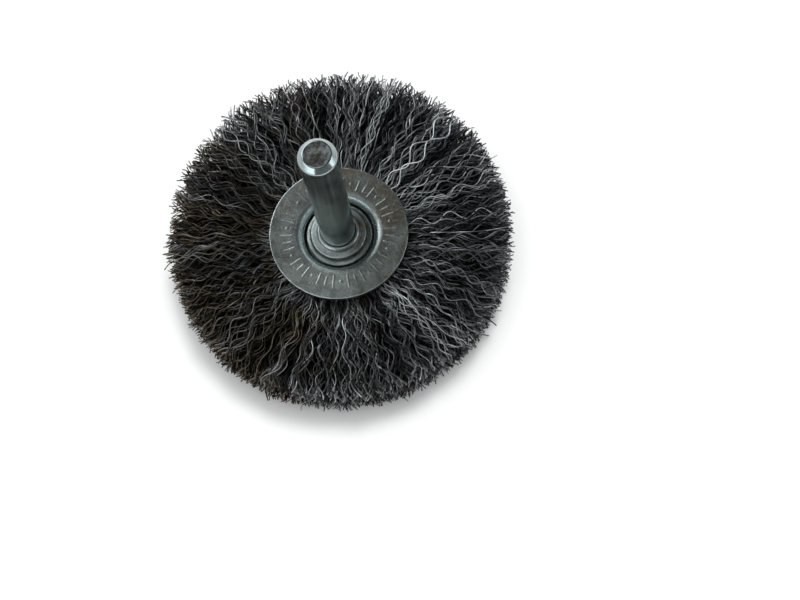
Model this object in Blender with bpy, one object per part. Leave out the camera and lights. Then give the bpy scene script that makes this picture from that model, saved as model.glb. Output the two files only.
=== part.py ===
"""Shank-mounted crimped wire wheel brush, 60 mm across on a 6 mm shank.

Two dished steel flanges clamp a ring of folded wire bundles round a spacer sleeve. The wires are
hooked round a retaining ring between the flanges, and the spindle holds the stack together: a
stepped collar sits at its front and its tail is peened over a washer at the back.

Frame: +Z runs along the spindle towards the free end of the shank. The origin is on the surface
that the brush lies on, under the middle of the brush. Units are metres.
"""

import math

import bmesh
import bpy
from mathutils import Matrix, Vector

MM = 0.001

# Driving dimensions
BRUSH_RADIUS = 30 * MM
FACE_WIDTH = 13 * MM
FLANGE_RADIUS = 12 * MM
FLANGE_THICKNESS = 1.0 * MM
HUB_WIDTH = 12.3 * MM
SHANK_RADIUS = 3 * MM
SHANK_END_Z = 46 * MM
BUNDLE_COUNT = 32

# Clearances between neighbouring pieces
FACE_GAP = 0.3 * MM
BORE_GAP = 0.1 * MM

# Places along the spindle, worked out from the driving dimensions
MID_Z = FACE_WIDTH / 2
FLANGE_FRONT_Z = MID_Z + HUB_WIDTH / 2

# Flange dish
DISH_SHOULDER = 0.95 * MM
DISH_RADIUS = 6.1 * MM
DISH_DEPTH = 2.25 * MM
FLANGE_EDGE = 0.2 * MM
DISH_FLOOR_Z = FLANGE_FRONT_Z - DISH_DEPTH

# Spindle
SHANK_CHAMFER = 0.6 * MM
SHANK_END_ROUND = 0.15 * MM
TENON_RADIUS = 2.5 * MM
TENON_SHOULDER_Z = DISH_FLOOR_Z + FACE_GAP
PEEN_RADIUS = 3.9 * MM
PEEN_HEIGHT = 0.9 * MM

# Stepped collar at the foot of the shank
COLLAR_BASE_RADIUS = 5.75 * MM
COLLAR_BASE_HEIGHT = 0.55 * MM
COLLAR_STEP_RADIUS = 4.7 * MM
COLLAR_STEP_HEIGHT = 1.8 * MM
COLLAR_LIP_RADIUS = 3.45 * MM
COLLAR_CONE_HEIGHT = 2.6 * MM
COLLAR_LIP_HEIGHT = 2.85 * MM
COLLAR_EDGE = 0.12 * MM

# Rear washer under the peened tail
WASHER_RADIUS = 5.7 * MM
WASHER_THICKNESS = 0.8 * MM
WASHER_EDGE = 0.15 * MM

# Spacer sleeve between the two dish floors
SLEEVE_RADIUS = 5.9 * MM

# Retaining ring that the wires fold round
RING_RADIUS = 9.6 * MM
RING_WIRE_RADIUS = 0.7 * MM

# Wire bundle outline
FOLD_DEPTH = 2.1 * MM
FLARE_START_RADIUS = FLANGE_RADIUS + 0.4 * MM
FLARE_END_RADIUS = 20 * MM
TIP_CORNER = 1.3 * MM

# Fineness of round shapes
TURNED_STEPS = 48
CORNER_STEPS = 3
FOLD_STEPS = 6
RING_SECTION_STEPS = 6
PEEN_STEPS = 4
BUNDLE_SLICES = 2
SMOOTH_ANGLE = math.radians(35)


def clear_scene():
    """Remove whatever the file opened with."""
    for obj in list(bpy.data.objects):
        bpy.data.objects.remove(obj, do_unlink=True)


def steel(name, colour, roughness, metallic=1.0):
    """A plain metal material."""
    material = bpy.data.materials.new(name)
    material.use_nodes = True
    shader = material.node_tree.nodes["Principled BSDF"]
    shader.inputs["Base Color"].default_value = (*colour, 1.0)
    shader.inputs["Roughness"].default_value = roughness
    shader.inputs["Metallic"].default_value = metallic
    return material


def arc(centre_r, centre_z, radius, start, end, steps):
    """Points (r, z) on an arc, with angles in degrees counted from +r towards +z."""
    points = []
    for i in range(steps + 1):
        angle = math.radians(start + (end - start) * i / steps)
        points.append((centre_r + radius * math.cos(angle), centre_z + radius * math.sin(angle)))
    return points


def mirrored(profile):
    """A profile turned over about the middle plane of the brush."""
    return [(r, 2 * MID_Z - z) for r, z in profile]


def add_object(name, shape, material):
    """Turn a finished bmesh into a named object with smooth round faces."""
    bmesh.ops.recalc_face_normals(shape, faces=shape.faces)
    mesh = bpy.data.meshes.new(name)
    shape.to_mesh(mesh)
    shape.free()
    mesh.materials.append(material)
    mesh.shade_smooth()
    mesh.set_sharp_from_angle(angle=SMOOTH_ANGLE)
    obj = bpy.data.objects.new(name, mesh)
    bpy.context.scene.collection.objects.link(obj)
    return obj


def turned(name, profile, material):
    """Spin a profile of (r, z) points round the spindle axis.

    A profile that starts and ends on the axis is left open there, and any other is a closed loop.
    """
    shape = bmesh.new()
    verts = [shape.verts.new((r, 0, z)) for r, z in profile]
    edges = [shape.edges.new(pair) for pair in zip(verts, verts[1:])]
    if profile[0][0] > 0:
        edges.append(shape.edges.new((verts[-1], verts[0])))
    bmesh.ops.spin(
        shape,
        geom=verts + edges,
        axis=(0, 0, 1),
        cent=(0, 0, 0),
        angle=2 * math.pi,
        steps=TURNED_STEPS,
        use_merge=True,
    )
    bmesh.ops.remove_doubles(shape, verts=shape.verts, dist=0.001 * MM)
    return add_object(name, shape, material)


def make_spindle(material):
    """Shank, tenon through the hub and peened tail, all one turned piece."""
    chamfer_r = SHANK_RADIUS - SHANK_CHAMFER
    chamfer_z = SHANK_END_Z - SHANK_CHAMFER
    tail_z = 2 * MID_Z - DISH_FLOOR_Z - FACE_GAP - WASHER_THICKNESS - FACE_GAP
    profile = [(0, SHANK_END_Z)]
    profile += [(chamfer_r - SHANK_END_ROUND, SHANK_END_Z)]
    profile += [(chamfer_r + SHANK_END_ROUND, SHANK_END_Z - SHANK_END_ROUND)]
    profile += [(SHANK_RADIUS - SHANK_END_ROUND, chamfer_z + SHANK_END_ROUND)]
    profile += [(SHANK_RADIUS, chamfer_z - SHANK_END_ROUND)]
    profile += [(SHANK_RADIUS, TENON_SHOULDER_Z)]
    profile += [(TENON_RADIUS, TENON_SHOULDER_Z)]
    profile += [(TENON_RADIUS, tail_z)]
    for i in range(PEEN_STEPS + 1):
        angle = math.pi / 2 * i / PEEN_STEPS
        profile.append((PEEN_RADIUS * math.cos(angle), tail_z - PEEN_HEIGHT * math.sin(angle)))
    profile[-1] = (0, tail_z - PEEN_HEIGHT)
    return turned("spindle", profile, material)


def flange_profile():
    """The front flange's section: flat rim, rounded shoulder and sunken floor with a hole."""
    edge = FLANGE_EDGE
    rim = FLANGE_RADIUS
    top = FLANGE_FRONT_Z
    bottom = top - FLANGE_THICKNESS
    wall = DISH_RADIUS
    hole = TENON_RADIUS + BORE_GAP
    back_wall = DISH_RADIUS + FLANGE_THICKNESS
    floor_back = DISH_FLOOR_Z - FLANGE_THICKNESS
    profile = [(rim, bottom), (rim, top - edge), (rim - edge, top)]
    profile += arc(wall + DISH_SHOULDER, top - DISH_SHOULDER, DISH_SHOULDER, 90, 180, CORNER_STEPS)
    profile += [(wall, DISH_FLOOR_Z + edge), (wall - edge, DISH_FLOOR_Z)]
    profile += [(hole, DISH_FLOOR_Z), (hole, floor_back)]
    profile += [(back_wall - DISH_SHOULDER, floor_back)]
    profile += [(back_wall, floor_back + DISH_SHOULDER), (back_wall, bottom)]
    return profile


def make_flanges(material):
    """The front flange and the same pressing turned over at the back."""
    turned("front_flange", flange_profile(), material)
    turned("rear_flange", mirrored(flange_profile()), material)


def make_collar(material):
    """Stepped collar pressed on the foot of the shank, inside the front dish."""
    base_z = DISH_FLOOR_Z + FACE_GAP
    bore = SHANK_RADIUS + BORE_GAP
    edge = COLLAR_EDGE
    base_top = base_z + COLLAR_BASE_HEIGHT
    step_top = base_z + COLLAR_STEP_HEIGHT
    cone_top = base_z + COLLAR_CONE_HEIGHT
    lip_top = base_z + COLLAR_LIP_HEIGHT
    profile = [(bore, lip_top - edge), (bore + edge, lip_top)]
    profile += [(COLLAR_LIP_RADIUS - edge, lip_top), (COLLAR_LIP_RADIUS, lip_top - edge)]
    profile += [(COLLAR_LIP_RADIUS, cone_top)]
    profile += [(COLLAR_STEP_RADIUS - edge, step_top)]
    profile += [(COLLAR_STEP_RADIUS, step_top - edge)]
    profile += [(COLLAR_STEP_RADIUS, base_top)]
    profile += arc(
        COLLAR_BASE_RADIUS - COLLAR_BASE_HEIGHT / 2,
        base_top - COLLAR_BASE_HEIGHT / 2,
        COLLAR_BASE_HEIGHT / 2,
        90,
        -90,
        CORNER_STEPS,
    )
    profile += [(bore, base_z)]
    return turned("front_collar", profile, material)


def make_rear_washer(material):
    """Flat washer in the rear dish, under the peened tail."""
    top = 2 * MID_Z - DISH_FLOOR_Z - FACE_GAP
    bottom = top - WASHER_THICKNESS
    bore = TENON_RADIUS + BORE_GAP
    edge = WASHER_EDGE
    profile = [(bore, top), (WASHER_RADIUS, top), (WASHER_RADIUS, bottom + edge)]
    profile += [(WASHER_RADIUS - edge, bottom), (bore, bottom)]
    return turned("rear_washer", profile, material)


def make_sleeve(material):
    """Spacer sleeve on the tenon, between the two dish floors."""
    top = DISH_FLOOR_Z - FLANGE_THICKNESS - FACE_GAP
    bottom = 2 * MID_Z - top
    bore = TENON_RADIUS + BORE_GAP
    profile = [(bore, top), (SLEEVE_RADIUS, top), (SLEEVE_RADIUS, bottom), (bore, bottom)]
    return turned("spacer_sleeve", profile, material)


def make_retaining_ring(material):
    """Round wire ring in the middle plane, which every wire is folded round."""
    section = arc(RING_RADIUS, MID_Z, RING_WIRE_RADIUS, 0, 360, RING_SECTION_STEPS)[:-1]
    return turned("retaining_ring", section, material)


def bundle_outline():
    """A wire bundle's section: folded inner end, clamped neck, flare and trimmed tips."""
    clamp_half = HUB_WIDTH / 2 - FLANGE_THICKNESS - FACE_GAP
    face_half = FACE_WIDTH / 2
    outline = [(BRUSH_RADIUS, TIP_CORNER - face_half), (BRUSH_RADIUS, face_half - TIP_CORNER)]
    outline += [(BRUSH_RADIUS - TIP_CORNER, face_half), (FLARE_END_RADIUS, face_half)]
    outline += [(FLARE_START_RADIUS, clamp_half)]
    for i in range(FOLD_STEPS + 1):
        angle = math.pi * (0.5 + i / FOLD_STEPS)
        outline.append((RING_RADIUS + FOLD_DEPTH * math.cos(angle), clamp_half * math.sin(angle)))
    outline += [(FLARE_START_RADIUS, -clamp_half)]
    outline += [(FLARE_END_RADIUS, -face_half), (BRUSH_RADIUS - TIP_CORNER, -face_half)]
    return [(r, MID_Z + z) for r, z in outline]


def bundle_slice(shape, points, angle, side):
    """Place (r, z) points on the radial plane at an angle, pushed sideways by half the gap.

    side is -1 on the first slice, 0 between and +1 on the last, so neighbours stay parallel.
    """
    push = Vector((math.sin(angle), -math.cos(angle), 0)) * side * FACE_GAP / 2
    ray = Vector((math.cos(angle), math.sin(angle), 0))
    return [shape.verts.new(ray * r + push + Vector((0, 0, z))) for r, z in points]


def join_rings(shape, first, second):
    """Quads between two rings of the same number of vertices."""
    count = len(first)
    for i in range(count):
        following = (i + 1) % count
        shape.faces.new((first[i], first[following], second[following], second[i]))


def ring_edges(shape, ring):
    """The edges round a ring of vertices, found or made."""
    edges = []
    for a, b in zip(ring, ring[1:] + ring[:1]):
        edges.append(shape.edges.get((a, b)) or shape.edges.new((a, b)))
    return edges


def bundle_mesh():
    """One wedge of folded wires, centred on +X, with a passage for the retaining ring."""
    hole_radius = RING_WIRE_RADIUS + FACE_GAP
    outline = bundle_outline()
    passage = arc(RING_RADIUS, MID_Z, hole_radius, 0, 360, RING_SECTION_STEPS)[:-1]
    half_angle = math.pi / BUNDLE_COUNT
    shape = bmesh.new()
    outer_rings = []
    inner_rings = []
    for i in range(BUNDLE_SLICES + 1):
        share = 2 * i / BUNDLE_SLICES - 1
        side = share if abs(share) == 1 else 0
        outer_rings.append(bundle_slice(shape, outline, share * half_angle, side))
        inner_rings.append(bundle_slice(shape, passage, share * half_angle, side))
    for rings in (outer_rings, inner_rings):
        for first, second in zip(rings, rings[1:]):
            join_rings(shape, first, second)
    for end in (0, -1):
        edges = ring_edges(shape, outer_rings[end]) + ring_edges(shape, inner_rings[end])
        bmesh.ops.triangle_fill(shape, edges=edges, use_beauty=True)
    bmesh.ops.recalc_face_normals(shape, faces=shape.faces)
    return shape


def make_bundles(material):
    """The ring of wire bundles, each a separate object."""
    for number in range(BUNDLE_COUNT):
        shape = bundle_mesh()
        turn = Matrix.Rotation(2 * math.pi * number / BUNDLE_COUNT, 4, "Z")
        bmesh.ops.transform(shape, matrix=turn, verts=shape.verts)
        add_object(f"wire_bundle_{number + 1:02d}", shape, material)


def main():
    clear_scene()
    zinc = steel("zinc_plated_steel", (0.22, 0.24, 0.23), 0.28)
    pressed = steel("pressed_flange_steel", (0.30, 0.31, 0.29), 0.42)
    turned_steel = steel("turned_collar_steel", (0.34, 0.36, 0.35), 0.32)
    plain = steel("plain_inner_steel", (0.40, 0.40, 0.40), 0.45)
    wire = steel("crimped_wire_steel", (0.11, 0.11, 0.115), 0.38)
    make_spindle(zinc)
    make_flanges(pressed)
    make_collar(turned_steel)
    make_rear_washer(turned_steel)
    make_sleeve(plain)
    make_retaining_ring(plain)
    make_bundles(wire)


main()
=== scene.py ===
"""Looks of the shank-mounted crimped wire wheel brush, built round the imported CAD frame."""

import math

import bpy
import numpy as np
from mathutils import Euler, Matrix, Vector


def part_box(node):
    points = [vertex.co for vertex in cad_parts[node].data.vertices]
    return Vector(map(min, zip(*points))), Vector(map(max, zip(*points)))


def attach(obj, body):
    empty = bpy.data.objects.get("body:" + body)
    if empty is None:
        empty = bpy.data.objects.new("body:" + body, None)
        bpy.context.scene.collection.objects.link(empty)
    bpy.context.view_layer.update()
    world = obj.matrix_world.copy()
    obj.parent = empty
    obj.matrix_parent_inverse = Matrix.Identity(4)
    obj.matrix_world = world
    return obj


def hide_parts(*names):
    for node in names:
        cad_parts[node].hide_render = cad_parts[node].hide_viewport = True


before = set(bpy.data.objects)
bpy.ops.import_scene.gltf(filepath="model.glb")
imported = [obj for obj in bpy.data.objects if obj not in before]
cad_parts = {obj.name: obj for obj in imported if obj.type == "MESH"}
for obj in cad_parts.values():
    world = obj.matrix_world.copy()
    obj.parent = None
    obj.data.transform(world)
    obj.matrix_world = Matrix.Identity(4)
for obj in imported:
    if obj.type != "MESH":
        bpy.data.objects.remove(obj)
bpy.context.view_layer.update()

MM = 0.001

# Places taken from the frame
BUNDLES = sorted(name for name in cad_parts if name.startswith("wire_bundle_"))
BRUSH_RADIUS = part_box(BUNDLES[0])[1].x
FACE_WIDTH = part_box(BUNDLES[0])[1].z
MID_Z = FACE_WIDTH / 2
FLANGE_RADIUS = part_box("front_flange")[1].x
FLANGE_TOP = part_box("front_flange")[1].z
DISH_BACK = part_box("front_flange")[0].z
COLLAR_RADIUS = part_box("front_collar")[1].x
COLLAR_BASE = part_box("front_collar")[0].z
COLLAR_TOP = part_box("front_collar")[1].z
SHANK_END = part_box("spindle")[1].z
PEEN_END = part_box("spindle")[0].z
PEEN_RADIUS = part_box("spindle")[1].x
WASHER_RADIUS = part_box("rear_washer")[1].x
WASHER_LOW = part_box("rear_washer")[0].z
WASHER_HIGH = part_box("rear_washer")[1].z
SLEEVE_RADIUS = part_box("spacer_sleeve")[1].x
SLEEVE_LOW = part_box("spacer_sleeve")[0].z
SLEEVE_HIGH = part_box("spacer_sleeve")[1].z
RING_WIRE = (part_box("retaining_ring")[1].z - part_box("retaining_ring")[0].z) / 2

# Sizes that a node's box doesn't give
SHANK_RADIUS = 3.0 * MM
SHANK_CHAMFER = 1.0 * MM
END_FACE_RADIUS = 2.2 * MM
TENON_RADIUS = 2.5 * MM
PLATE = 1.0 * MM
DISH_RADIUS = 6.1 * MM
BORE_GAP = 0.1 * MM
SNUG_GAP = 0.02 * MM
RING_RADIUS = 9.6 * MM

# Faces round each turned piece, with more on the flanges to carry their marks
FLANGE_STEPS = 640
COLLAR_STEPS = 192
TURNED_STEPS = 160
SLEEVE_STEPS = 128

# An edge rounded this tightly, or more, is fully worn bright, and the raised marks partly
WORN_RADIUS = 0.45 * MM
MARK_WEAR = 0.4

# Faces that meet at more than this angle keep a sharp edge between them
SHARP_ANGLE = math.radians(40)

# Wires. A strand is one wire, folded round the ring into two legs. The flanges clamp the legs
# within CLAMP_HALF of the middle plane, and the legs fill the whole width from FLARE_END on
WIRE_RADIUS = 0.092 * MM
STRAY_RADIUS = 0.13 * MM
WIRE_SIDES = 4
STRANDS_PER_BUNDLE = 112
LEG_POINTS = 36
FOLD_POINTS = 5
FOLD_REACH = 1.9 * MM
CLAMP_HALF = FLANGE_TOP - MID_Z - PLATE - 0.2 * MM
FLARE_END = 21 * MM

# The crimp: shallow under the flanges, then growing to its full height between two radii
CRIMP_LENGTH = 5.7 * MM
CRIMP_HEIGHT = 0.74 * MM
CRIMP_START = 10.2 * MM
CRIMP_FULL = 15.2 * MM
CRIMP_UNDER_FLANGE = 0.25

# The trimmed rim: a circle a little off centre, with its front and rear corners cut back
TRIM_INSET = 0.55 * MM
TRIM_OFFSET = 0.65 * MM
TRIM_TURN = math.radians(80)
FRONT_CORNER = 0.1 * MM
REAR_CORNER = 1.6 * MM
FARTHEST_TIP = 1.3 * MM

# Tufts of legs that bend alike, in each bundle, how far their borders blur, and the share of legs
# that don't follow their tuft
TUFTS_ACROSS = 4
TUFTS_DEEP = 3
TUFT_BLUR = 0.25
LOOSE_SHARE = 0.40

# Wire tones: the darkest strand, how far others are above it, and where the painted shade on deep strands
# fades out at the tips
DARKEST_TONE = 0.16
TONE_SPAN = 0.80
PALE_TIP_START = 23 * MM
PALE_TIP_LENGTH = 6 * MM
PALE_TIP_SHARE = 0.7

# Raised marks on the flanges
MARK_COUNT = 44
MARK_INNER = 7.9 * MM
MARK_OUTER = 10.1 * MM
MARK_HALF_WIDTH = 0.11 * MM
MARK_HEIGHT = 0.06 * MM
SHORT_MARK_SHARE = 0.72
MARK_RINGS = 58

# The pressed plate's shape
CROWN_START = 7 * MM
CROWN_DROP = 0.10 * MM
WAVINESS = 0.018 * MM

SEED = 736


# ---------------------------------------------------------------- meshes

def add_piece(name, mesh, stands_for=()):
    """Link a finished mesh as a piece that rides on the one body."""
    piece = bpy.data.objects.new(name, mesh)
    bpy.context.scene.collection.objects.link(piece)
    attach(piece, "root")
    if stands_for:
        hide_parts(*stands_for)
    return piece


def mesh_from_arrays(name, points, corners, sizes, smooth):
    """A mesh from flat arrays: points, face corners and how many corners each face has."""
    mesh = bpy.data.meshes.new(name)
    starts = np.concatenate([[0], np.cumsum(sizes)[:-1]])
    mesh.vertices.add(len(points))
    mesh.vertices.foreach_set("co", points.astype(np.float32).ravel())
    mesh.loops.add(len(corners))
    mesh.loops.foreach_set("vertex_index", corners.astype(np.int32))
    mesh.polygons.add(len(sizes))
    mesh.polygons.foreach_set("loop_start", starts.astype(np.int32))
    mesh.polygons.foreach_set("use_smooth", smooth.astype(bool))
    mesh.update(calc_edges=True)
    return mesh


def add_attribute(mesh, name, values):
    """A number for each vertex, which a material can read."""
    layer = mesh.attributes.new(name, "FLOAT", "POINT")
    layer.data.foreach_set("value", values.astype(np.float32).ravel())


def corner_arc(before, corner, after, fillet):
    """Points that round off one corner of an outline."""
    a = np.subtract(before, corner)
    b = np.subtract(after, corner)
    length_a = np.hypot(*a)
    length_b = np.hypot(*b)
    a = a / length_a
    b = b / length_b
    half = math.acos(np.clip(a @ b, -1, 1)) / 2
    reach = min(fillet / math.tan(half), 0.49 * length_a, 0.49 * length_b)
    radius = reach * math.tan(half)
    centre = np.asarray(corner) + (a + b) / np.hypot(*(a + b)) * radius / math.sin(half)
    start = np.asarray(corner) + a * reach - centre
    turn = math.pi - 2 * half
    if a[0] * b[1] - a[1] * b[0] > 0:
        turn = -turn
    steps = max(3, math.ceil(abs(turn) / math.radians(12)))
    points = []
    for i in range(steps + 1):
        angle = turn * i / steps
        c, s = math.cos(angle), math.sin(angle)
        points.append((centre[0] + c * start[0] - s * start[1], centre[1] + s * start[0] + c * start[1]))
    return points


def rounded(corners, closed):
    """An outline of (r, z) points from (r, z, fillet) corners."""
    outline = []
    count = len(corners)
    for i, (r, z, fillet) in enumerate(corners):
        at_end = not closed and i in (0, count - 1)
        if fillet == 0 or at_end:
            outline.append((r, z))
            continue
        before = corners[i - 1][:2]
        after = corners[(i + 1) % count][:2]
        outline += corner_arc(before, (r, z), after, fillet)
    return np.array(outline)


def divided(outline, closed, spacing):
    """The outline with its long straight stretches divided."""
    points = []
    following = np.roll(outline, -1, axis=0) if closed else outline[1:]
    for a, b in zip(outline, following):
        steps = max(1, math.ceil(np.hypot(*(b - a)) / spacing))
        for i in range(steps):
            points.append(a + (b - a) * i / steps)
    if not closed:
        points.append(outline[-1])
    return np.array(points)


def signed_area(outline):
    """Twice the area inside an outline, below 0 when it runs clockwise."""
    after = np.roll(outline, -1, axis=0)
    return (outline[:, 0] * after[:, 1] - after[:, 0] * outline[:, 1]).sum()


def edge_wear(outline, closed):
    """0 on flat stretches and up to 1 where the outline bulges, which is where plating wears bright."""
    before = np.roll(outline, 1, axis=0)
    after = np.roll(outline, -1, axis=0)
    a = outline - before
    b = after - outline
    turn = np.arctan2(a[:, 0] * b[:, 1] - a[:, 1] * b[:, 0], (a * b).sum(axis=1))
    length = (np.hypot(*a.T) + np.hypot(*b.T)) / 2
    bulge = turn / np.maximum(length, 1e-9) * np.sign(signed_area(outline)) * WORN_RADIUS
    if not closed:
        bulge[[0, -1]] = 0
    return np.clip(bulge, 0, 1)


def spun_faces(outline, steps, closed):
    """The faces between an outline's turned copies, as lists of points, and each face's ring.

    Each end of an open outline is one point on the axis, so the faces there are triangles.
    """
    count = len(outline)
    index = np.arange(steps * count).reshape(steps, count)
    if not closed:
        index[:, 0] = index[0, 0]
        index[:, -1] = index[0, -1]
    spin_next = np.roll(index, -1, axis=0)
    rings = np.arange(count if closed else count - 1)
    ahead = (rings + 1) % count
    quads = np.stack(
        [index[:, rings], spin_next[:, rings], spin_next[:, ahead], index[:, ahead]], axis=-1
    ).reshape(-1, 4)
    if signed_area(outline) < 0:
        quads = quads[:, ::-1]
    faces = [[point for k, point in enumerate(quad) if point != quad[k - 1]] for quad in quads.tolist()]
    return faces, np.tile(rings, steps)


def turned_piece(name, outline, steps, stands_for, materials, closed=True, relief=None, pick=None):
    """Spin an outline round the spindle's axis into a piece.

    relief(r, z, angle) pushes each point along Z. pick(r, z) gives each face its material's number.
    An open outline starts and ends on the axis.
    """
    if not closed:
        outline = outline.copy()
        outline[[0, -1], 0] = 0
    shape = (steps, len(outline))
    angles = np.linspace(0, 2 * math.pi, steps, endpoint=False)
    angle = np.broadcast_to(angles[:, None], shape)
    r = np.broadcast_to(outline[:, 0], shape)
    z = np.broadcast_to(outline[:, 1], shape)
    wear = np.broadcast_to(edge_wear(outline, closed), shape)
    if relief is not None:
        rise = relief(r, z, angle)
        z = z + rise
        wear = np.clip(wear + MARK_WEAR * np.clip(rise / MARK_HEIGHT, 0, 1), 0, 1)
    points = np.stack([r * np.cos(angle), r * np.sin(angle), z], axis=-1)
    faces, ring_of_face = spun_faces(outline, steps, closed)
    sizes = np.array([len(face) for face in faces])
    used, corners = np.unique(np.concatenate(faces), return_inverse=True)
    mesh = mesh_from_arrays(name, points.reshape(-1, 3)[used], corners, sizes, np.ones(len(sizes)))
    add_attribute(mesh, "wear", wear.reshape(-1)[used])
    for material in materials:
        mesh.materials.append(material)
    if pick is not None:
        choice = pick(outline[:, 0], outline[:, 1])[ring_of_face]
        mesh.polygons.foreach_set("material_index", choice.astype(np.int32))
    mesh.set_sharp_from_angle(angle=SHARP_ANGLE)
    return add_piece(name, mesh, stands_for)


# ---------------------------------------------------------------- material nodes

def add_node(tree, kind, inputs=(), **settings):
    """A shader node with its settings, and its inputs linked or set."""
    node = tree.nodes.new(kind)
    for name, value in settings.items():
        setattr(node, name, value)
    for name, value in dict(inputs).items():
        if isinstance(value, bpy.types.NodeSocket):
            tree.links.new(value, node.inputs[name])
        else:
            node.inputs[name].default_value = value
    return node


def place(tree, scale=(1, 1, 1)):
    """Position in the object's own space, stretched."""
    coords = add_node(tree, "ShaderNodeTexCoord")
    mapping = add_node(tree, "ShaderNodeMapping", {"Vector": coords.outputs["Object"], "Scale": scale})
    return mapping.outputs["Vector"]


def noise(tree, size, detail=4.0, roughness=0.55, stretch=(1, 1, 1), twist=0.0):
    """A cloudy pattern with features of about the given size in metres."""
    node = add_node(
        tree,
        "ShaderNodeTexNoise",
        {"Vector": place(tree, stretch), "Scale": 1 / size, "Detail": detail,
         "Roughness": roughness, "Distortion": twist},
    )
    return node.outputs["Fac"]


def ramp(tree, factor, stops):
    """A colour ramp from (position, grey or colour) stops."""
    node = add_node(tree, "ShaderNodeValToRGB", {"Fac": factor})
    elements = node.color_ramp.elements
    while len(elements) < len(stops):
        elements.new(0.5)
    for element, (position, colour) in zip(elements, stops):
        element.position = position
        if isinstance(colour, (int, float)):
            colour = (colour, colour, colour)
        element.color = (*colour, 1)
    return node.outputs["Color"]


def object_axes(tree):
    """X, Y and Z in the object's own space, as one node's outputs."""
    return add_node(tree, "ShaderNodeSeparateXYZ", {"Vector": place(tree)}).outputs


def combine(tree, operation, a, b):
    """One arithmetic node."""
    node = add_node(tree, "ShaderNodeMath", operation=operation)
    for socket, value in zip(node.inputs, (a, b)):
        if isinstance(value, bpy.types.NodeSocket):
            tree.links.new(value, socket)
        else:
            socket.default_value = value
    return node.outputs["Value"]


def blend(tree, factor, a, b, how="MIX"):
    """Two colours mixed."""
    node = add_node(tree, "ShaderNodeMix", data_type="RGBA", blend_type=how)
    for name, value in (("Factor_Float", factor), ("A_Color", a), ("B_Color", b)):
        socket = next(s for s in node.inputs if s.identifier == name)
        if isinstance(value, bpy.types.NodeSocket):
            tree.links.new(value, socket)
        else:
            socket.default_value = value if name == "Factor_Float" else (*value, 1)
    return next(s for s in node.outputs if s.identifier == "Result_Color")


def attribute(tree, name):
    """A number stored on the mesh."""
    return add_node(tree, "ShaderNodeAttribute", attribute_name=name).outputs["Fac"]


def bump(tree, height, depth, under=None):
    """A bump of the given depth in metres, on top of another."""
    inputs = {"Height": height, "Distance": depth, "Strength": 1.0}
    if under is not None:
        inputs["Normal"] = under
    return add_node(tree, "ShaderNodeBump", inputs).outputs["Normal"]


def metal(name):
    """An empty metal material: the material, its node tree and its shader."""
    material = bpy.data.materials.new(name)
    material.use_nodes = True
    tree = material.node_tree
    shader = tree.nodes["Principled BSDF"]
    shader.inputs["Metallic"].default_value = 1.0
    return material, tree, shader


def scratches(tree, size, turn):
    """Fine lines in one direction, turned about Z: 1 on a scratch and 0 beside it."""
    coords = add_node(tree, "ShaderNodeTexCoord")
    turned = add_node(
        tree, "ShaderNodeMapping", {"Vector": coords.outputs["Object"], "Rotation": (0, 0, turn)}
    )
    squeezed = add_node(
        tree, "ShaderNodeMapping", {"Vector": turned.outputs["Vector"], "Scale": (1, 14, 1)}
    )
    lines = add_node(
        tree, "ShaderNodeTexNoise",
        {"Vector": squeezed.outputs["Vector"], "Scale": 1 / size, "Detail": 2.0, "Roughness": 0.4},
    )
    return ramp(tree, lines.outputs["Fac"], [(0.62, 0.0), (0.70, 1.0)])


def finish_metal(tree, shader, colour, rough, normal=None):
    """Link a metal's colour, roughness and bump to its shader."""
    tree.links.new(colour, shader.inputs["Base Color"])
    tree.links.new(rough, shader.inputs["Roughness"])
    if normal is not None:
        tree.links.new(normal, shader.inputs["Normal"])


def shank_zinc():
    """Smooth zinc plate with faint lines along the shank, cloudy dulling and a darker chamfer."""
    material, tree, shader = metal("shank_zinc")
    cloud = noise(tree, 3 * MM, detail=5)
    speck = noise(tree, 0.35 * MM, detail=3)
    colour = ramp(
        tree, cloud,
        [(0.30, (0.34, 0.40, 0.39)), (0.55, (0.47, 0.53, 0.52)), (0.75, (0.58, 0.63, 0.62))],
    )
    height = combine(tree, "DIVIDE", object_axes(tree)["Z"], SHANK_END)
    chamfer = ramp(tree, height, [(0.972, 0.0), (0.980, 0.9)])
    colour = blend(tree, chamfer, colour, (0.29, 0.335, 0.34))
    colour = blend(tree, ramp(tree, speck, [(0.60, 0.0), (0.75, 0.35)]), colour, (0.22, 0.24, 0.23))
    rough = combine(tree, "ADD", combine(tree, "MULTIPLY", cloud, 0.16), 0.13)
    rough = combine(tree, "SUBTRACT", rough, combine(tree, "MULTIPLY", chamfer, 0.04))
    lines = noise(tree, 0.5 * MM, detail=2, stretch=(3, 3, 0.08))
    normal = bump(tree, speck, 0.008 * MM, bump(tree, lines, 0.006 * MM))
    finish_metal(tree, shader, colour, rough, normal)
    return material


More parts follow.
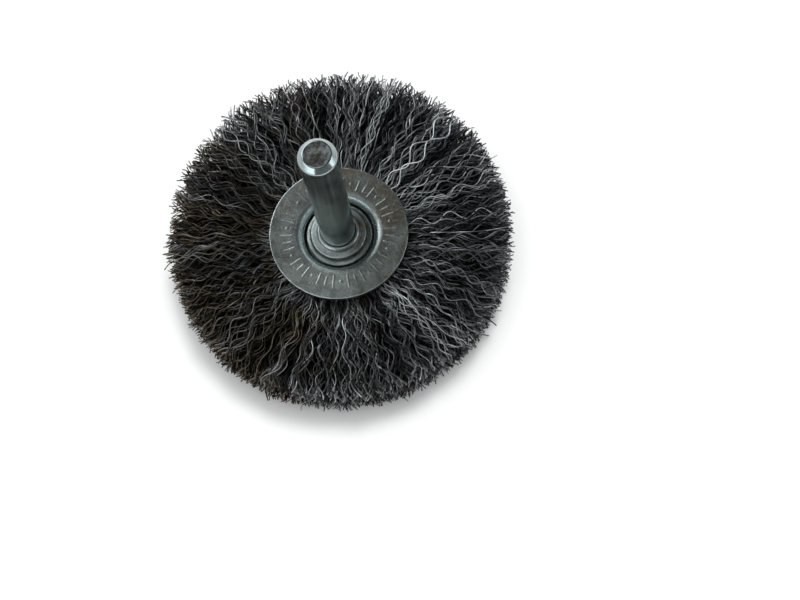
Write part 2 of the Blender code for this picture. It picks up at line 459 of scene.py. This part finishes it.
def shank_end_steel():
    """The rough, scraped end face of the shank."""
    material, tree, shader = metal("shank_end_steel")
    cloud = noise(tree, 1.5 * MM, detail=6, roughness=0.62, twist=0.5)
    grain = noise(tree, 0.28 * MM, detail=6, roughness=0.7)
    colour = ramp(
        tree, cloud,
        [(0.38, (0.08, 0.075, 0.07)), (0.48, (0.16, 0.155, 0.148)), (0.58, (0.28, 0.29, 0.29)),
         (0.70, (0.46, 0.49, 0.50))],
    )
    colour = blend(tree, 0.5, colour, ramp(tree, grain, [(0.38, 0.3), (0.60, 1.0)]), "MULTIPLY")
    scrape = scratches(tree, 0.9 * MM, 0.9)
    colour = blend(tree, combine(tree, "MULTIPLY", scrape, 0.6), colour, (0.60, 0.64, 0.66))
    rough = combine(tree, "ADD", combine(tree, "MULTIPLY", grain, 0.35), 0.22)
    normal = bump(tree, scrape, 0.02 * MM, bump(tree, grain, 0.045 * MM))
    finish_metal(tree, shader, colour, rough, normal)
    return material


def painted_far_side_shade(tree, cloud):
    """Painted shade: a multiplier that darkens the plate's far side, towards +Y, along a cloudy border."""
    share = combine(tree, "MULTIPLY", object_axes(tree)["Y"], -0.5 / FLANGE_RADIUS)
    share = combine(tree, "ADD", share, combine(tree, "MULTIPLY", cloud, 0.4))
    return ramp(tree, share, [(0.20, 0.60), (0.60, 1.0)])


def rust_and_side_shade_patches(tree):
    """1 on brownish rust patches, which lie mostly towards +X and +Y; that pull also paints shade on the
    plate's right and far side.
    """
    where = object_axes(tree)
    rust_and_shade = noise(tree, 4.5 * MM, detail=6, roughness=0.68, twist=0.8)
    # The pull towards +X and +Y is painted shade on those sides, on top of the rust
    rust_and_shade = combine(tree, "ADD", rust_and_shade, combine(tree, "MULTIPLY", where["X"], 0.10 / FLANGE_RADIUS))
    rust_and_shade = combine(tree, "ADD", rust_and_shade, combine(tree, "MULTIPLY", where["Y"], 0.05 / FLANGE_RADIUS))
    return ramp(tree, rust_and_shade, [(0.50, 0.0), (0.64, 1.0)])


def crossed_scratches(tree):
    """Fine scratches in three directions, 1 on a scratch."""
    two_ways = combine(tree, "MAXIMUM", scratches(tree, 1.6 * MM, 2.2), scratches(tree, 2.8 * MM, 1.4))
    return combine(tree, "MAXIMUM", scratches(tree, 2.2 * MM, 0.5), two_ways)


def shoulder_highlight_ring(tree):
    """Up to 0.6 round the dish's shoulder: where a painted highlight makes the colour pale and bluish, and
    where the roughness drops.
    """
    radius = add_node(tree, "ShaderNodeVectorMath", {0: place(tree, (1, 1, 0))}, operation="LENGTH")
    share = combine(tree, "DIVIDE", radius.outputs["Value"], FLANGE_RADIUS)
    return ramp(tree, share, [(0.45, 0.0), (0.50, 0.6), (0.55, 0.6), (0.61, 0.0)])


def flange_steel(name, tint, brown):
    """Dull plated sheet steel with grain, scratches, pits, brownish patches and bright worn edges, with
    painted shade on its far and right sides and a painted highlight round the dish's shoulder.
    """
    material, tree, shader = metal(name)
    cloud = noise(tree, 3.2 * MM, detail=7, roughness=0.68)
    grain = noise(tree, 0.32 * MM, detail=4, roughness=0.7)
    pits = ramp(tree, noise(tree, 0.6 * MM, detail=4, roughness=0.6), [(0.60, 0.0), (0.69, 0.75)])
    scratch = crossed_scratches(tree)
    painted_highlight_and_polish = shoulder_highlight_ring(tree)
    worn = combine(tree, "MULTIPLY", attribute(tree, "wear"), ramp(tree, grain, [(0.38, 0.35), (0.58, 1.0)]))

    dark = tuple(0.62 * c for c in tint)
    light = tuple(1.25 * c for c in tint)
    speckle = ramp(tree, grain, [(0.36, 0.35), (0.50, 0.80), (0.66, 1.0)])
    rust_and_shade = combine(tree, "MULTIPLY", rust_and_side_shade_patches(tree), brown)
    colour = ramp(tree, cloud, [(0.34, dark), (0.52, tint), (0.70, light)])
    # Painted shade on the plate's far side, towards +Y
    colour = blend(tree, 1.0, colour, painted_far_side_shade(tree, cloud), "MULTIPLY")
    # Brown rust, partly painted shade towards +X and +Y
    colour = blend(tree, rust_and_shade, colour, (0.155, 0.125, 0.095))
    colour = blend(tree, 0.55, colour, speckle, "MULTIPLY")
    colour = blend(tree, pits, colour, (0.075, 0.072, 0.066))
    colour = blend(tree, combine(tree, "MULTIPLY", scratch, 0.20), colour, (0.60, 0.62, 0.60))
    # Painted highlight round the dish's shoulder
    colour = blend(tree, painted_highlight_and_polish, colour, (0.50, 0.57, 0.58))
    colour = blend(tree, combine(tree, "MULTIPLY", worn, 0.8), colour, (0.66, 0.70, 0.70))

    rough = combine(tree, "ADD", combine(tree, "MULTIPLY", grain, 0.30), 0.26)
    rough = combine(tree, "SUBTRACT", rough, combine(tree, "MULTIPLY", worn, 0.22))
    rough = combine(tree, "SUBTRACT", rough, combine(tree, "MULTIPLY", painted_highlight_and_polish, 0.20))

    normal = bump(tree, grain, 0.022 * MM)
    normal = bump(tree, scratch, -0.006 * MM, normal)
    normal = bump(tree, pits, -0.02 * MM, normal)
    finish_metal(tree, shader, colour, rough, normal)
    return material


def inner_steel():
    """Plain turned steel inside the hub."""
    material, tree, shader = metal("inner_steel")
    lines = noise(tree, 0.3 * MM, detail=3, stretch=(0.2, 0.2, 3))
    cloud = noise(tree, 2.5 * MM, detail=4)
    colour = ramp(tree, cloud, [(0.35, (0.30, 0.30, 0.29)), (0.65, (0.46, 0.46, 0.45))])
    rough = combine(tree, "ADD", combine(tree, "MULTIPLY", lines, 0.3), 0.25)
    finish_metal(tree, shader, colour, rough, bump(tree, lines, 0.01 * MM))
    return material


def wire_steel():
    """Crimped wire: a grey for each strand's random brightness and painted shade, browner and darker towards
    -X, partly a brown tint and partly painted shade on that side, with dull streaks.
    """
    material, tree, shader = metal("wire_steel")
    # Greys from each strand's random brightness and the painted shade on deep strands
    colour = ramp(
        tree, attribute(tree, "tone_and_shade"),
        [(0.0, (0.006, 0.006, 0.006)), (0.18, (0.028, 0.028, 0.028)), (0.38, (0.115, 0.115, 0.116)),
         (0.75, (0.48, 0.48, 0.49)), (1.0, (0.85, 0.85, 0.87))],
    )
    # Browner and darker towards -X: a brown tint that also paints shade on that side
    leftness = combine(tree, "MULTIPLY", object_axes(tree)["X"], -0.30 / BRUSH_RADIUS)
    left_brown_and_shade = combine(tree, "ADD", noise(tree, 8 * MM, detail=4, roughness=0.6), leftness)
    left_brown_and_shade = ramp(tree, left_brown_and_shade, [(0.50, 0.0), (0.74, 0.95)])
    colour = blend(tree, left_brown_and_shade, colour, (0.42, 0.34, 0.24), "MULTIPLY")
    streak = noise(tree, 1.6 * MM, detail=3)
    colour = blend(tree, ramp(tree, streak, [(0.55, 0.0), (0.80, 0.30)]), colour, (0.05, 0.045, 0.04))
    rough = combine(tree, "ADD", combine(tree, "MULTIPLY", streak, 0.12), 0.26)
    shader.inputs["Specular Tint"].default_value = (0.2, 0.2, 0.2, 1)
    finish_metal(tree, shader, colour, rough)
    return material


# ---------------------------------------------------------------- hub

def smoothstep(x):
    """0 below 0, 1 above 1, and a smooth rise between."""
    x = np.clip(x, 0, 1)
    return x * x * (3 - 2 * x)


def mark_relief(r, angle):
    """Height of the plain raised marks: long and short radial bars, and every fourth a round dot."""
    turn = angle / (2 * math.pi) * MARK_COUNT
    number = np.floor(turn)
    across = (turn - number - 0.5) * 2 * math.pi * r / MARK_COUNT
    middle = (MARK_INNER + MARK_OUTER) / 2
    half_length = np.where(number % 2 == 0, 1.0, SHORT_MARK_SHARE) * (MARK_OUTER - MARK_INNER) / 2
    along = np.maximum(np.abs(r - middle) - half_length + MARK_HALF_WIDTH, 0)
    bar = np.hypot(across, along)
    dot = np.hypot(across, r - middle) - 1.2 * MARK_HALF_WIDTH
    distance = np.where(number % 4 == 3, dot, bar)
    return MARK_HEIGHT * smoothstep((MARK_HALF_WIDTH * 1.6 - distance) / (MARK_HALF_WIDTH * 1.3))


def plate_shape(r, angle):
    """The slight crown of the pressed plate, and the faint unevenness of thin sheet."""
    share = np.clip((r - CROWN_START) / (FLANGE_RADIUS - CROWN_START), 0, 1)
    wave = np.sin(2 * angle + 0.7) + 0.6 * np.sin(3 * angle + 2.1) + 0.35 * np.sin(7 * angle + 0.3)
    return WAVINESS * wave * smoothstep(share) - CROWN_DROP * share ** 2


def flange_outline():
    """The front flange's section: a flat plate whose shoulder curves down into the dish."""
    hole = TENON_RADIUS + BORE_GAP
    wall = DISH_RADIUS - 0.12 * MM
    back_wall = DISH_RADIUS + PLATE
    floor = DISH_BACK + PLATE
    bottom = FLANGE_TOP - PLATE
    corners = [
        (hole, floor, 0.1 * MM),
        (hole, DISH_BACK, 0.1 * MM),
        (back_wall, DISH_BACK, 0.9 * MM),
        (back_wall, bottom, 0.12 * MM),
        (FLANGE_RADIUS, bottom, 0.12 * MM),
        (FLANGE_RADIUS, FLANGE_TOP, 0.14 * MM),
        (DISH_RADIUS + 0.8 * MM, FLANGE_TOP, 1.4 * MM),
        (wall, FLANGE_TOP - 1.2 * MM, 1.8 * MM),
        (wall, floor, 0.25 * MM),
    ]
    return rounded(corners, closed=True)


def fine_flange_outline():
    """The flange outline with rings close enough to carry the raised marks."""
    coarse = divided(flange_outline(), True, 1.2 * MM)
    top = np.abs(coarse[:, 1] - FLANGE_TOP) < 0.001 * MM
    first, last = np.flatnonzero(top)[[0, -1]]
    rings = np.linspace(coarse[top, 0].max(), coarse[top, 0].min(), MARK_RINGS)
    band = np.stack([rings, np.full(len(rings), FLANGE_TOP)], axis=-1)
    return np.concatenate([coarse[:first], band, coarse[last + 1:]])


def front_relief(r, z, angle):
    """Marks and waviness on the front flange's outer face."""
    on_top = z > FLANGE_TOP - 0.3 * MM
    return np.where(on_top, mark_relief(r, angle) + plate_shape(r, angle), 0)


def rear_relief(r, z, angle):
    """The same on the rear flange, turned over."""
    return -front_relief(r, 2 * MID_Z - z, -angle)


def make_flanges():
    """Both flanges: the same pressing, the rear one turned over."""
    steel = flange_steel("flange_steel", (0.30, 0.32, 0.302), 0.8)
    front = fine_flange_outline()
    rear = front * (1, -1) + (0, 2 * MID_Z)
    turned_piece("front_flange_plate", front, FLANGE_STEPS, ["front_flange"], [steel],
                 relief=front_relief)
    turned_piece("rear_flange_plate", rear, FLANGE_STEPS, ["rear_flange"], [steel],
                 relief=rear_relief)


def make_collar(steel):
    """Stepped collar at the foot of the shank."""
    bore = SHANK_RADIUS + SNUG_GAP
    corners = [
        (bore, COLLAR_BASE, 0.1 * MM),
        (COLLAR_RADIUS, COLLAR_BASE, 0.2 * MM),
        (COLLAR_RADIUS, COLLAR_BASE + 0.72 * MM, 0.36 * MM),
        (4.98 * MM, COLLAR_BASE + 0.92 * MM, 0.35 * MM),
        (4.72 * MM, COLLAR_TOP - 1.00 * MM, 0.15 * MM),
        (3.78 * MM, COLLAR_TOP - 0.84 * MM, 0.22 * MM),
        (3.62 * MM, COLLAR_TOP - 0.26 * MM, 0.12 * MM),
        (3.40 * MM, COLLAR_TOP, 0.12 * MM),
        (3.12 * MM, COLLAR_TOP, 0.12 * MM),
        (bore, COLLAR_TOP - 0.25 * MM, 0),
    ]
    outline = divided(rounded(corners, closed=True), True, 0.4 * MM)
    turned_piece("collar", outline, COLLAR_STEPS, ["front_collar"], [steel])


def spindle_relief(r, z, angle):
    """Dents in the shank's end face and hammer blows on the peened tail."""
    x, y = r * np.cos(angle), r * np.sin(angle)
    end = smoothstep((z - SHANK_END + 0.1 * MM) / (0.1 * MM))
    end = end * smoothstep((END_FACE_RADIUS - r) / (0.5 * MM))
    dents = np.sin(x * 2600 + 1.3) * np.sin(y * 3100 + 0.4) + 0.7 * np.sin(x * 5100 - y * 4300)
    tail = smoothstep((PEEN_END + 0.9 * MM - z) / (0.3 * MM))
    blows = np.sin(x * 1900 + 0.5) * np.sin(y * 2300 + 1.9)
    return end * (dents * 0.012 - 0.03) * MM + tail * np.maximum(blows, 0) * 0.05 * MM


def is_end_face(r, z):
    """1 on the shank's end face, which has its own material, and 0 elsewhere."""
    return ((z > SHANK_END - 0.01 * MM) & (r < END_FACE_RADIUS)).astype(int)


def make_spindle():
    """Shank with its chamfered end, tenon and peened tail."""
    peen_top = WASHER_LOW - 0.3 * MM
    corners = [
        (0, PEEN_END, 0),
        (PEEN_RADIUS * 0.7, PEEN_END + 0.12 * MM, 0.9 * MM),
        (PEEN_RADIUS, PEEN_END + 0.55 * MM, 0.3 * MM),
        (PEEN_RADIUS, peen_top, 0.08 * MM),
        (TENON_RADIUS, peen_top, 0),
        (TENON_RADIUS, COLLAR_BASE, 0),
        (SHANK_RADIUS, COLLAR_BASE, 0.05 * MM),
        (SHANK_RADIUS, SHANK_END - SHANK_CHAMFER, 0.50 * MM),
        (END_FACE_RADIUS, SHANK_END, 0.35 * MM),
        (0, SHANK_END, 0),
    ]
    outline = divided(rounded(corners, closed=False), False, 0.16 * MM)
    plain = (outline[:, 1] > COLLAR_BASE + 1 * MM) & (outline[:, 1] < SHANK_END - 1.5 * SHANK_CHAMFER)
    keep = np.ones(len(outline), bool)
    keep[plain] = np.arange(plain.sum()) % 6 == 0
    turned_piece("shank_and_tail", outline[keep], TURNED_STEPS, ["spindle"],
                 [shank_zinc(), shank_end_steel()], closed=False, relief=spindle_relief, pick=is_end_face)


def make_washer(steel):
    """Washer under the peened tail."""
    bore = TENON_RADIUS + SNUG_GAP
    corners = [
        (bore, WASHER_LOW, 0.08 * MM),
        (WASHER_RADIUS, WASHER_LOW, 0.2 * MM),
        (WASHER_RADIUS, WASHER_HIGH, 0.08 * MM),
        (bore, WASHER_HIGH, 0.08 * MM),
    ]
    outline = divided(rounded(corners, closed=True), True, 0.5 * MM)
    turned_piece("tail_washer", outline, TURNED_STEPS, ["rear_washer"], [steel])


def make_sleeve(steel):
    """Sleeve on the tenon, between the dish floors."""
    bore = TENON_RADIUS + SNUG_GAP
    corners = [
        (bore, SLEEVE_LOW, 0.1 * MM),
        (SLEEVE_RADIUS, SLEEVE_LOW, 0.2 * MM),
        (SLEEVE_RADIUS, SLEEVE_HIGH, 0.2 * MM),
        (bore, SLEEVE_HIGH, 0.1 * MM),
    ]
    outline = divided(rounded(corners, closed=True), True, 0.8 * MM)
    turned_piece("hub_sleeve", outline, SLEEVE_STEPS, ["spacer_sleeve"], [steel])


def make_ring(steel):
    """Round wire ring that every strand is folded round."""
    turn = np.linspace(0, 2 * math.pi, 20, endpoint=False)
    section = np.stack([RING_RADIUS + RING_WIRE * np.cos(turn), MID_Z + RING_WIRE * np.sin(turn)], axis=-1)
    turned_piece("keeper_ring", section, TURNED_STEPS, ["retaining_ring"], [steel])


# ---------------------------------------------------------------- wires

def as_column(values):
    """One value for each leg, set to spread along that leg's points."""
    return np.asarray(values)[:, None]


def layer_height(layer):
    """How far from the middle plane a leg of each layer is clamped between the flanges."""
    return RING_WIRE + WIRE_RADIUS + as_column(layer) * (CLAMP_HALF - RING_WIRE - 2 * WIRE_RADIUS)


def held_within(height, limit):
    """The height, eased off as it nears the limit on either side so that it never passes it."""
    free = 0.88
    share = height / limit
    eased = free + (1 - free) * np.tanh((np.abs(share) - free) / (2 * (1 - free)))
    return np.where(np.abs(share) > free, np.sign(share) * eased, share) * limit


def leg_paths(side, root_angle, layer, lean, bow, tilt, phase, pitch, height, tip_radius, spread):
    """Centre lines of wire legs from the retaining ring to their tips, one row for each leg.

    side is +1 for legs in front of the ring and -1 behind it. layer runs from 0, next to the ring,
    to 1, under the flange. spread is the same at the rim, where the brush is wider.
    """
    u = np.linspace(0, 1, LEG_POINTS)[None, :]
    run = (as_column(tip_radius) - RING_RADIUS) * u
    r = RING_RADIUS + run
    angle = as_column(root_angle) + as_column(lean) * u + as_column(bow) * np.sin(math.pi * u)
    flare = smoothstep((r - FLANGE_RADIUS) / (FLARE_END - FLANGE_RADIUS))
    clamped = layer_height(layer)
    centre = clamped + (as_column(spread) * (MID_Z - WIRE_RADIUS) - clamped) * flare
    free = smoothstep((r - CRIMP_START) / (CRIMP_FULL - CRIMP_START))
    size = as_column(height) * (CRIMP_UNDER_FLANGE + (1 - CRIMP_UNDER_FLANGE) * free)
    wave = np.sin(2 * math.pi * run / as_column(pitch) + as_column(phase)) * size
    wave = wave * smoothstep(run / (1.5 * MM))
    sideways = wave * np.cos(as_column(tilt))
    limit = (CLAMP_HALF - WIRE_RADIUS) * (1 - flare) + (MID_Z - WIRE_RADIUS) * flare
    axial = held_within(centre + wave * np.sin(as_column(tilt)), limit)
    x = r * np.cos(angle) - sideways * np.sin(angle)
    y = r * np.sin(angle) + sideways * np.cos(angle)
    return np.stack([x, y, MID_Z + side * axial], axis=-1)


def fold_paths(root_angle, layer):
    """The hooks round the retaining ring, from the rear leg's root to the front leg's."""
    theta = np.linspace(1.5 * math.pi, 0.5 * math.pi, FOLD_POINTS + 2)[None, 1:-1]
    up = layer_height(layer)
    inward = RING_WIRE + WIRE_RADIUS + as_column(layer) * (FOLD_REACH - RING_WIRE)
    r = RING_RADIUS + inward * np.cos(theta)
    x = r * np.cos(as_column(root_angle))
    y = r * np.sin(as_column(root_angle))
    return np.stack([x, y, MID_Z + up * np.sin(theta)], axis=-1)


def tubes(paths, reference, radius):
    """Closed tubes along paths, one row each, as points, face corners, face sizes and smoothness.

    reference is a direction across each path that no part of the path runs along.
    """
    count, length, _ = paths.shape
    along = np.gradient(paths, axis=1)
    along /= np.linalg.norm(along, axis=-1, keepdims=True)
    first = np.cross(along, reference[:, None, :])
    first /= np.linalg.norm(first, axis=-1, keepdims=True)
    second = np.cross(along, first)
    turn = 2 * math.pi * np.arange(WIRE_SIDES) / WIRE_SIDES
    ring = first[:, :, None, :] * np.cos(turn)[:, None] + second[:, :, None, :] * np.sin(turn)[:, None]
    points = paths[:, :, None, :] + ring * np.asarray(radius)[:, None, None, None]
    index = np.arange(count * length * WIRE_SIDES).reshape(count, length, WIRE_SIDES)
    here, ahead = index[:, :-1], index[:, 1:]
    quads = np.stack([here, ahead, np.roll(ahead, -1, axis=2), np.roll(here, -1, axis=2)], axis=-1)
    start_caps = index[:, 0, :].reshape(-1)
    end_caps = index[:, -1, ::-1].reshape(-1)
    corners = np.concatenate([quads.reshape(-1), start_caps, end_caps])
    sizes = np.concatenate([np.full(quads.size // 4, 4), np.full(2 * count, WIRE_SIDES)])
    smooth = np.concatenate([np.ones(quads.size // 4), np.zeros(2 * count)])
    return points.reshape(-1, 3), corners, sizes, smooth


def wire_mesh(name, paths, reference, radius, tone_and_shade, material):
    """One mesh of many wires, with a brightness, painted shade included, for each point along each of them.
    """
    points, corners, sizes, smooth = tubes(paths, reference, radius)
    mesh = mesh_from_arrays(name, points, corners, sizes, smooth)
    add_attribute(mesh, "tone_and_shade", np.repeat(tone_and_shade, WIRE_SIDES))
    mesh.materials.append(material)
    return mesh


def leg_habits(rng, share, layer):
    """How each leg bends: neighbours in a tuft bend alike, and loose legs go their own way."""
    count = len(share)
    across = np.clip(share * TUFTS_ACROSS + TUFT_BLUR * rng.normal(size=count), 0, TUFTS_ACROSS - 0.01)
    deep = np.clip(layer * TUFTS_DEEP + TUFT_BLUR * rng.normal(size=count), 0, TUFTS_DEEP - 0.01)
    tuft = across.astype(int) + TUFTS_ACROSS * deep.astype(int)
    tufts = TUFTS_ACROSS * TUFTS_DEEP
    loose = rng.uniform(size=count) < LOOSE_SHARE

    def mixed(shared, own, jitter):
        return np.where(loose, own, shared[tuft] + jitter * rng.normal(size=count))

    # Each is mixed(shared by a tuft, a loose leg's own, jitter within the tuft)
    return {
        "lean": mixed(rng.normal(0, 0.028, tufts), rng.normal(0, 0.06, count), 0.018),
        "bow": mixed(rng.normal(0, 0.03, tufts), rng.normal(0, 0.05, count), 0.008),
        "tilt": mixed(rng.normal(0, 0.45, tufts), rng.uniform(-1.5, 1.5, count), 0.12),
        "phase": mixed(rng.uniform(0, 6.28, tufts), rng.uniform(0, 6.28, count), 0.6),
        "pitch": CRIMP_LENGTH * mixed(rng.normal(1, 0.05, tufts), rng.normal(1, 0.09, count), 0.012),
        "height": CRIMP_HEIGHT * mixed(rng.normal(1, 0.12, tufts), rng.normal(0.95, 0.2, count), 0.05),
        "reach": MM * mixed(rng.normal(0, 0.30, tufts), rng.normal(0, 0.5, count), 0.28),
    }


def across_axis(root_angle):
    """The direction round the spindle's axis at each angle."""
    return np.stack([-np.sin(root_angle), np.cos(root_angle), np.zeros(len(root_angle))], axis=-1)


def bundle_paths(rng, centre, half_width, count):
    """Centre lines of one bundle's strands, tip to tip, with each one's angle and layer."""
    share = rng.uniform(size=count)
    root_angle = centre + half_width * (2 * share - 1)
    layer = rng.permutation((np.arange(count) + rng.uniform(size=count)) / count)
    trim = BRUSH_RADIUS - TRIM_INSET + TRIM_OFFSET * np.cos(root_angle - TRIM_TURN)
    legs = []
    for side, corner in ((-1, REAR_CORNER), (1, FRONT_CORNER)):
        habits = leg_habits(rng, share, layer)
        reach = habits.pop("reach")
        spread = np.clip(layer + rng.normal(0, 0.07, count), 0.0, 1.0)
        tip_radius = np.minimum(trim + reach - corner * spread ** 4, BRUSH_RADIUS + FARTHEST_TIP)
        legs.append(leg_paths(side, root_angle, layer, tip_radius=tip_radius, spread=spread, **habits))
    paths = np.concatenate([legs[0][:, ::-1], fold_paths(root_angle, layer), legs[1]], axis=1)
    return paths, root_angle, layer


def strand_tones_and_shade(rng, layer, paths):
    """How bright each point of each strand is: a random grey for each strand, with painted shade that keeps
    deep strands dark except at their tips.
    """
    own = DARKEST_TONE + TONE_SPAN * rng.uniform(size=len(layer)) ** 1.25
    radius = np.hypot(paths[..., 0], paths[..., 1])
    pale = PALE_TIP_SHARE * smoothstep((radius - PALE_TIP_START) / PALE_TIP_LENGTH)
    # Painted shade on deep strands, fading out towards their tips
    return own[:, None] * (pale + (1 - pale) * layer[:, None] ** 2)


def make_bundles(material):
    """The wires of every bundle, each standing for its CAD wedge."""
    rng = np.random.default_rng(SEED)
    half_width = math.pi / len(BUNDLES)
    for number, node in enumerate(BUNDLES):
        centre = 2 * half_width * number
        paths, root_angle, layer = bundle_paths(rng, centre, half_width, STRANDS_PER_BUNDLE)
        tone_and_shade = strand_tones_and_shade(rng, layer, paths)
        radius = WIRE_RADIUS * rng.normal(1, 0.03, STRANDS_PER_BUNDLE)
        name = node.replace("wire_bundle", "wire_strands")
        mesh = wire_mesh(name, paths, across_axis(root_angle), radius, tone_and_shade, material)
        add_piece(name, mesh, [node])


def make_stray_wires(material):
    """Two bright stray wires that lie on top of the others, twisted round each other."""
    root_angle = np.radians([33, 29])
    paths = leg_paths(
        1, root_angle, layer=[0.98, 0.98], lean=[0, 0], bow=[0, 0], tilt=[0.2, -0.2],
        phase=[3.5, 0.96], pitch=[6.3 * MM, 6.2 * MM], height=[0.9 * MM, 0.95 * MM],
        tip_radius=[28.5 * MM, 28.0 * MM], spread=[1.0, 1.0],
    )
    radius = np.hypot(paths[..., 0], paths[..., 1])
    paths[..., 2] += 0.3 * MM * smoothstep((radius - 13 * MM) / (3 * MM))
    tone_and_shade = np.ones(radius.shape)
    thickness = np.full(len(root_angle), STRAY_RADIUS)
    mesh = wire_mesh("stray_wires", paths, across_axis(root_angle), thickness, tone_and_shade, material)
    add_piece("stray_wires", mesh)


# ---------------------------------------------------------------- stage

def add_floor():
    """A plain pale floor."""
    half = 1.0
    corners = [(-half, -half, 0), (half, -half, 0), (half, half, 0), (-half, half, 0)]
    mesh = bpy.data.meshes.new("floor")
    mesh.from_pydata(corners, [], [(0, 1, 2, 3)])
    floor = bpy.data.objects.new("floor", mesh)
    bpy.context.scene.collection.objects.link(floor)
    material = bpy.data.materials.new("floor_white")
    material.use_nodes = True
    shader = material.node_tree.nodes["Principled BSDF"]
    shader.inputs["Base Color"].default_value = (0.93, 0.93, 0.93, 1)
    shader.inputs["Roughness"].default_value = 0.8
    mesh.materials.append(material)


def add_room():
    """A dim room, paler towards the horizon."""
    world = bpy.data.worlds.new("room")
    world.use_nodes = True
    tree = world.node_tree
    coords = add_node(tree, "ShaderNodeTexCoord")
    height = add_node(tree, "ShaderNodeSeparateXYZ", {"Vector": coords.outputs["Generated"]})
    colour = ramp(
        tree, height.outputs["Z"],
        [(0.0, (0.44, 0.46, 0.48)), (0.14, (0.24, 0.26, 0.27)), (0.36, (0.10, 0.108, 0.107)),
         (1.0, (0.10, 0.109, 0.107))],
    )
    tree.links.new(colour, tree.nodes["Background"].inputs["Color"])
    bpy.context.scene.world = world


def add_window(name, azimuth, elevation, distance, width, height, glow, colour=(1, 1, 1)):
    """A rectangular soft light that faces the brush. Its glow is how bright its face is.

    The angles are in degrees and the lengths in metres, from the middle of the table.
    """
    light = bpy.data.lights.new(name, "AREA")
    light.shape = "RECTANGLE"
    light.size = width
    light.size_y = height
    light.energy = glow * width * height * math.pi
    light.color = colour
    lamp = bpy.data.objects.new(name, light)
    bpy.context.scene.collection.objects.link(lamp)
    turn, rise = math.radians(azimuth), math.radians(elevation)
    reach = distance * math.cos(rise)
    lamp.location = (reach * math.cos(turn), reach * math.sin(turn), distance * math.sin(rise))
    lamp.rotation_euler = Euler((math.pi / 2 - rise, 0, turn + math.pi / 2))
    lamp.visible_camera = False
    return lamp


def add_lights():
    """Two lamps that only light the floor, and windows and a ceiling that only the metal mirrors."""
    add_room()
    lamps = [
        add_window("key", 45, 75, 1.1, 0.26, 0.26, 24.0),
        add_window("fill", 0, 90, 1.2, 1.8, 1.8, 1.7),
    ]
    for lamp in lamps:
        lamp.visible_glossy = False
    windows = [
        add_window("left_window", 202, 15, 1.1, 1.60, 0.42, 2.9, (0.88, 0.95, 1.0)),
        add_window("right_window", -18, 10, 1.2, 0.80, 0.26, 3.2, (0.90, 0.96, 1.0)),
        add_window("back_window", 118, 34, 1.1, 1.10, 0.60, 4.4, (0.90, 0.97, 1.0)),
        add_window("ceiling", 225, 74, 1.2, 0.90, 0.90, 0.80, (0.95, 1.0, 0.98)),
    ]
    for window in windows:
        window.visible_diffuse = False


def add_camera():
    """The photograph's viewing angle: from above and in front, turned a little."""
    camera_data = bpy.data.cameras.new("camera")
    camera_data.lens = 55.96
    camera_data.sensor_width = 36
    camera_data.clip_start = 0.01
    camera = bpy.data.objects.new("camera", camera_data)
    bpy.context.scene.collection.objects.link(camera)
    camera.location = (0, -75.84 * MM, 213.10 * MM)
    camera.rotation_euler = Euler((math.radians(16.814), math.radians(2.827), math.radians(-15.669)))
    bpy.context.scene.camera = camera


def main():
    """Build every piece, then the stage round it."""
    add_camera()
    make_flanges()
    collar_steel = flange_steel("collar_steel", (0.42, 0.465, 0.45), 1.0)
    make_collar(collar_steel)
    make_spindle()
    plain_steel = inner_steel()
    make_washer(collar_steel)
    make_sleeve(plain_steel)
    make_ring(plain_steel)
    wire = wire_steel()
    make_bundles(wire)
    make_stray_wires(wire)
    add_floor()
    add_lights()
    bpy.context.scene.view_settings.view_transform = "Standard"


main()
